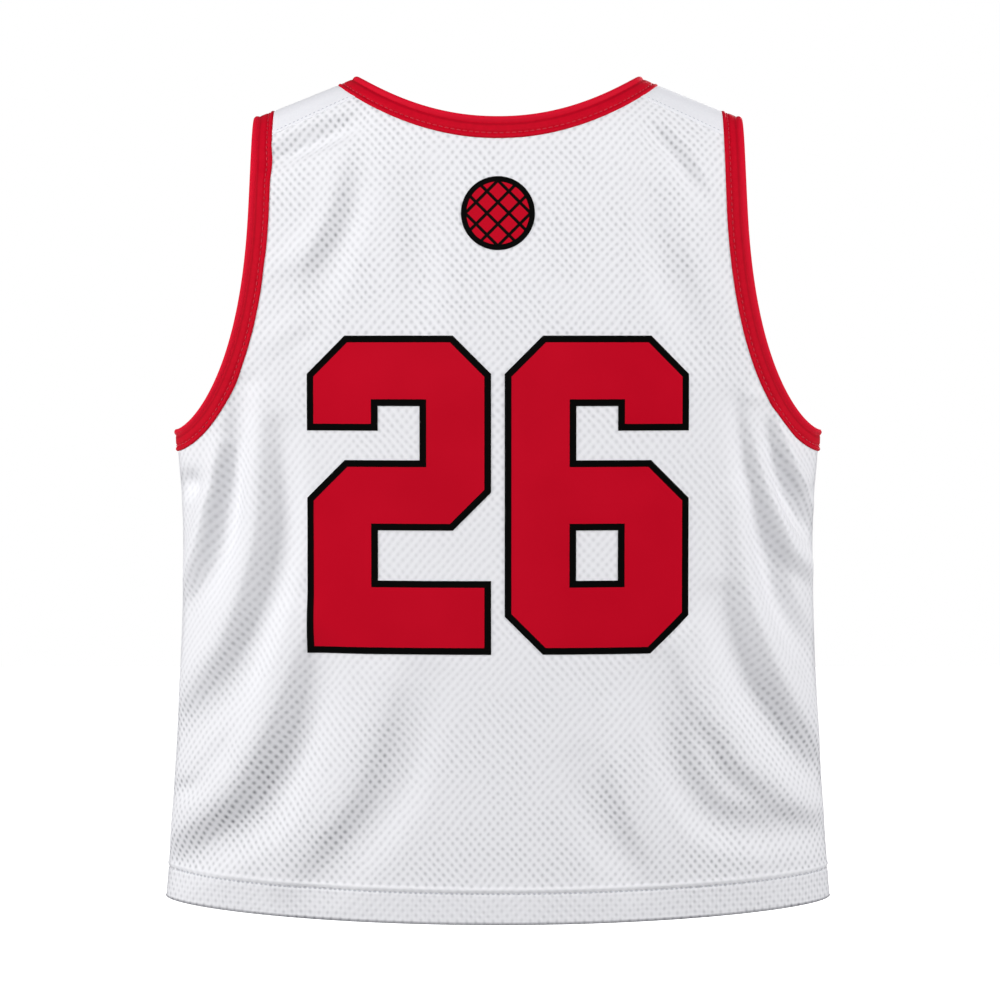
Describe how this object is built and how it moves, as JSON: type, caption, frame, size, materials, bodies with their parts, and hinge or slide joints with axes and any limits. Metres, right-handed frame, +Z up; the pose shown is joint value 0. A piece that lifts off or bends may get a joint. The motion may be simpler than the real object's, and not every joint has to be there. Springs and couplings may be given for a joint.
{
  "type": "lacrosse pinnie",
  "caption": "Sleeveless mesh sports top, filled out and hollow, with bound neck and armholes, block numerals and a round badge on the back.",
  "frame": {"origin": "midway between the two high shoulder points, where the shoulders meet the neck, on the garment's middle plane; it hangs from here", "axes": "+Z up; the numbered back faces -Y and the front +Y; -X is the wearer's left"},
  "size_m": [0.5622, 0.1978, 0.693],
  "materials": {
    "mesh_knit": "open white polyester mesh knit, soft and matt",
    "yoke_knit": "plain white polyester knit, smooth and matt",
    "binding_tape": "red knitted tape folded over the edge and sewn down",
    "black_film": "black heat-pressed film, satin",
    "red_film": "red heat-pressed film, satin"
  },
  "bodies": {
    "root": {"back_panel": "mesh_knit", "front_panel": "mesh_knit", "yoke_left": "yoke_knit", "yoke_right": "yoke_knit", "neck_binding": "binding_tape", "armhole_binding_left": "binding_tape", "armhole_binding_right": "binding_tape", "numeral_two_border": "black_film", "numeral_two_face": "red_film", "numeral_six_border": "black_film", "numeral_six_face": "red_film", "badge_border": "black_film", "badge_face": "red_film"}
  },
  "joints": []
}
